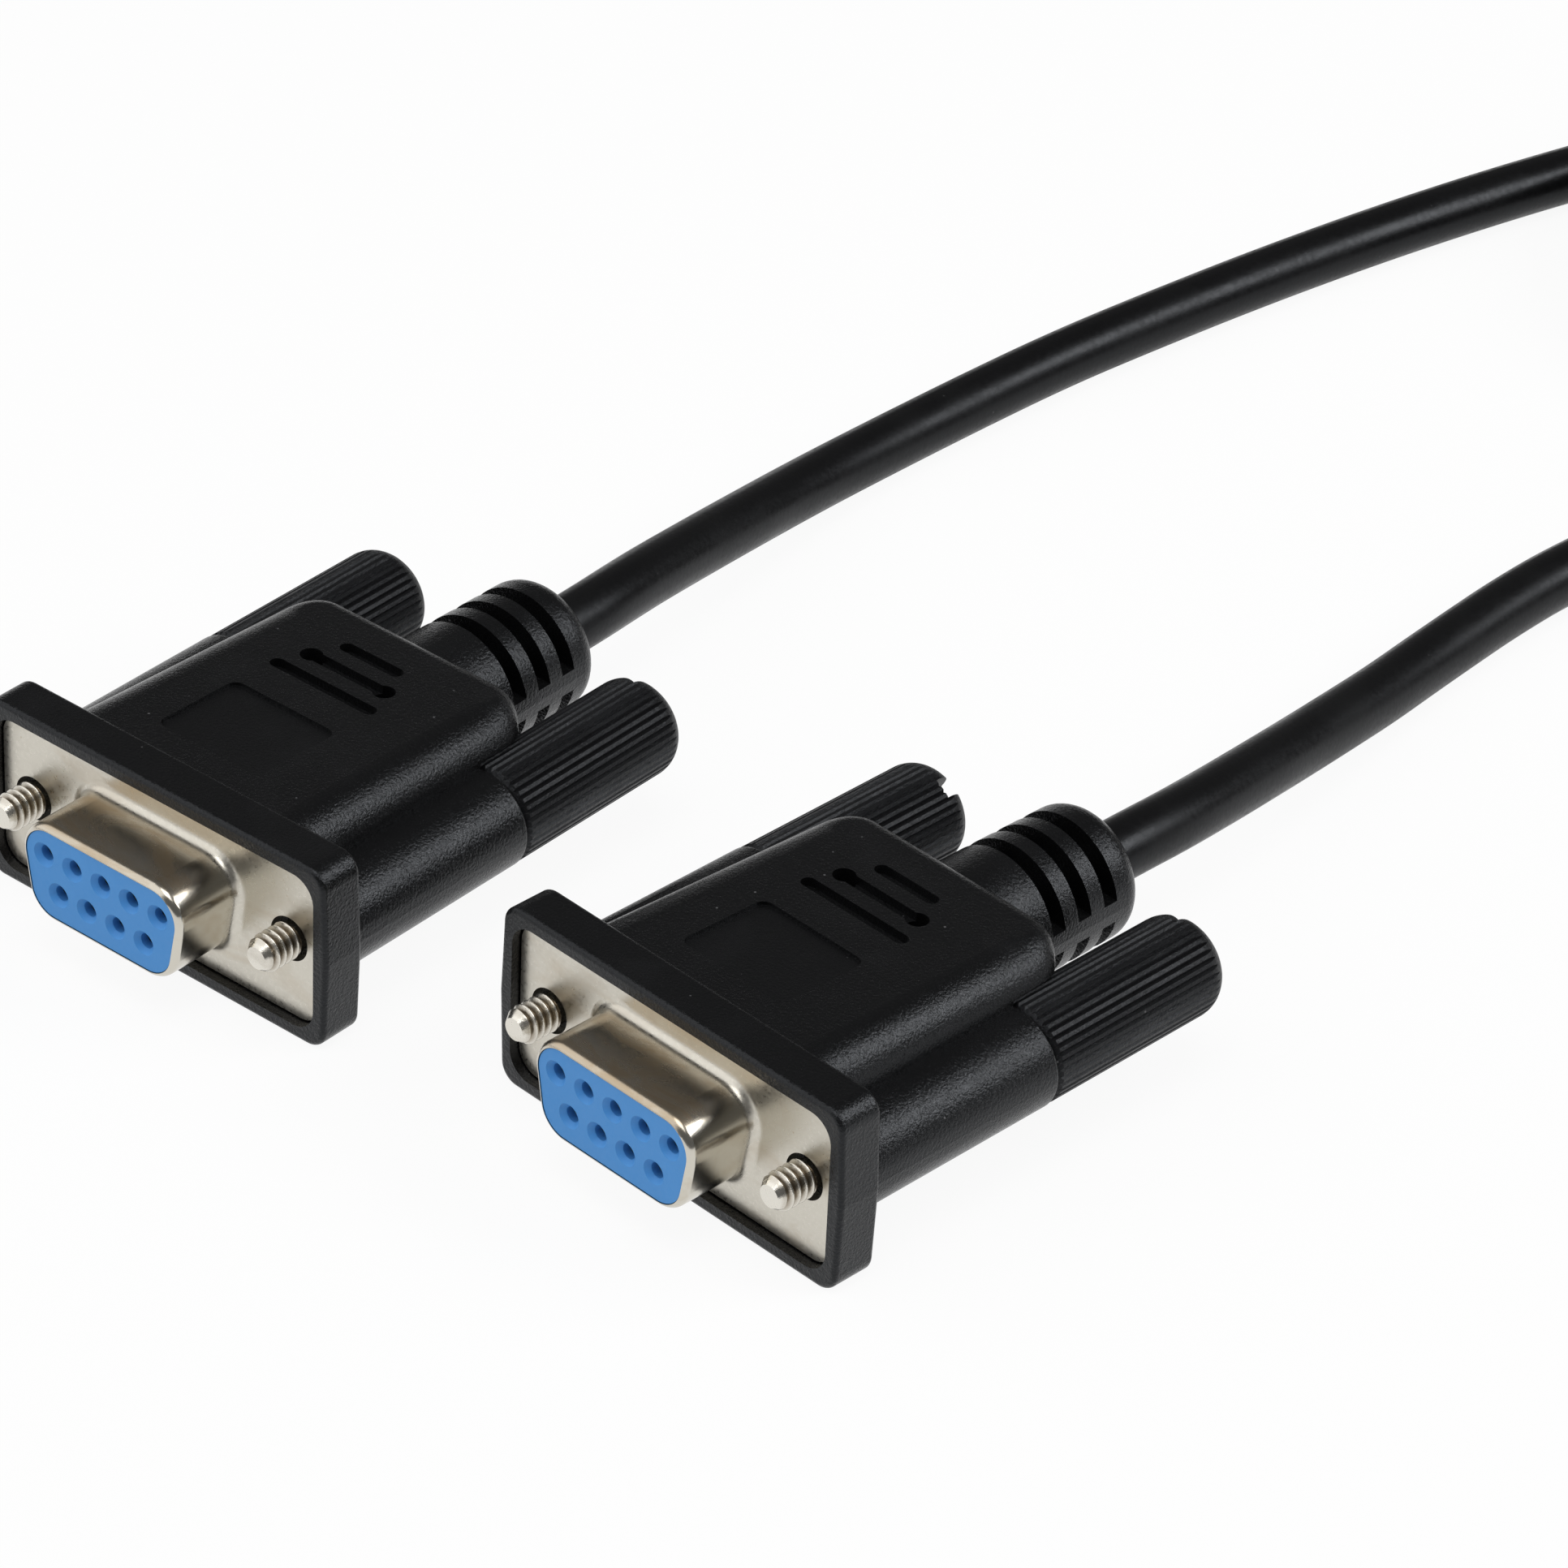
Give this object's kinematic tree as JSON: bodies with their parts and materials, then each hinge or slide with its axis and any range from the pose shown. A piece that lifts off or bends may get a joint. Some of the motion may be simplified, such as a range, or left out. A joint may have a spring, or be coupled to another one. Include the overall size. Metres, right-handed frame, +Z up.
{
  "type": "null modem cable",
  "caption": "Black serial cable with a moulded DE-9 socket at each end, blue insulators, fluted thumbscrews and ringed strain reliefs, crossed inside to join two like ports.",
  "frame": {"origin": "on the table, under the middle of socket B's metal plate, at its front plane", "axes": "+X along socket B's plate, +Y from its mating face towards the cable, +Z up"},
  "size_m": [0.0826, 0.2125, 0.015],
  "materials": {
    "black_pvc": "satin, very fine grain",
    "inner_mould": "natural",
    "nickel_plate": "nickel plated, satin",
    "blue_insulator": "satin",
    "gold_contact": "gold flashed",
    "core_pvc": "smooth",
    "cable_jacket": "smooth, semi-gloss",
    "black_knob": "fluted, satin",
    "nickel_screw": "nickel plated, bright"
  },
  "bodies": {
    "cable_assembly": {"hood_a": "black_pvc", "inner_mould_a": "inner_mould", "front_shell_a": "nickel_plate", "rear_shell_a": "nickel_plate", "front_insulator_a": "blue_insulator", "rear_insulator_a": "blue_insulator", "contact_1_a": "gold_contact", "contact_2_a": "gold_contact", "contact_3_a": "gold_contact", "contact_4_a": "gold_contact", "contact_5_a": "gold_contact", "contact_6_a": "gold_contact", "contact_7_a": "gold_contact", "contact_8_a": "gold_contact", "contact_9_a": "gold_contact", "conductor_2_a": "core_pvc", "conductor_3_a": "core_pvc", "conductor_4_a": "core_pvc", "conductor_5_a": "core_pvc", "conductor_6_a": "core_pvc", "conductor_7_a": "core_pvc", "conductor_8_a": "core_pvc", "pin_link_a": "core_pvc", "cable_end_a": "cable_jacket", "hood_b": "black_pvc", "inner_mould_b": "inner_mould", "front_shell_b": "nickel_plate", "rear_shell_b": "nickel_plate", "front_insulator_b": "blue_insulator", "rear_insulator_b": "blue_insulator", "contact_1_b": "gold_contact", "contact_2_b": "gold_contact", "contact_3_b": "gold_contact", "contact_4_b": "gold_contact", "contact_5_b": "gold_contact", "contact_6_b": "gold_contact", "contact_7_b": "gold_contact", "contact_8_b": "gold_contact", "contact_9_b": "gold_contact", "conductor_2_b": "core_pvc", "conductor_3_b": "core_pvc", "conductor_4_b": "core_pvc", "conductor_5_b": "core_pvc", "conductor_6_b": "core_pvc", "conductor_7_b": "core_pvc", "conductor_8_b": "core_pvc", "pin_link_b": "core_pvc", "cable_end_b": "cable_jacket", "cable_lead_a": "cable_jacket", "cable_coil": "cable_jacket", "cable_lead_b": "cable_jacket"},
    "thumbscrew_left_a": {"knob_left_a": "black_knob", "jackscrew_left_a": "nickel_screw"},
    "thumbscrew_right_a": {"knob_right_a": "black_knob", "jackscrew_right_a": "nickel_screw"},
    "thumbscrew_left_b": {"knob_left_b": "black_knob", "jackscrew_left_b": "nickel_screw"},
    "thumbscrew_right_b": {"knob_right_b": "black_knob", "jackscrew_right_b": "nickel_screw"}
  },
  "joints": [
    {"name": "thumbscrew_left_a_turn", "type": "hinge", "parent": "cable_assembly", "child": "thumbscrew_left_a", "pos_m": [-0.05558, -0.01007, 0.0075], "axis": [0.0928, -0.9957, 0], "continuous": true},
    {"name": "thumbscrew_right_a_turn", "type": "hinge", "parent": "cable_assembly", "child": "thumbscrew_right_a", "pos_m": [-0.0307, -0.00775, 0.0075], "axis": [0.0928, -0.9957, 0], "continuous": true},
    {"name": "thumbscrew_left_b_turn", "type": "hinge", "parent": "cable_assembly", "child": "thumbscrew_left_b", "pos_m": [-0.01249, 0, 0.0075], "axis": [0, -1, 0], "continuous": true},
    {"name": "thumbscrew_right_b_turn", "type": "hinge", "parent": "cable_assembly", "child": "thumbscrew_right_b", "pos_m": [0.01249, 0, 0.0075], "axis": [0, -1, 0], "continuous": true}
  ]
}
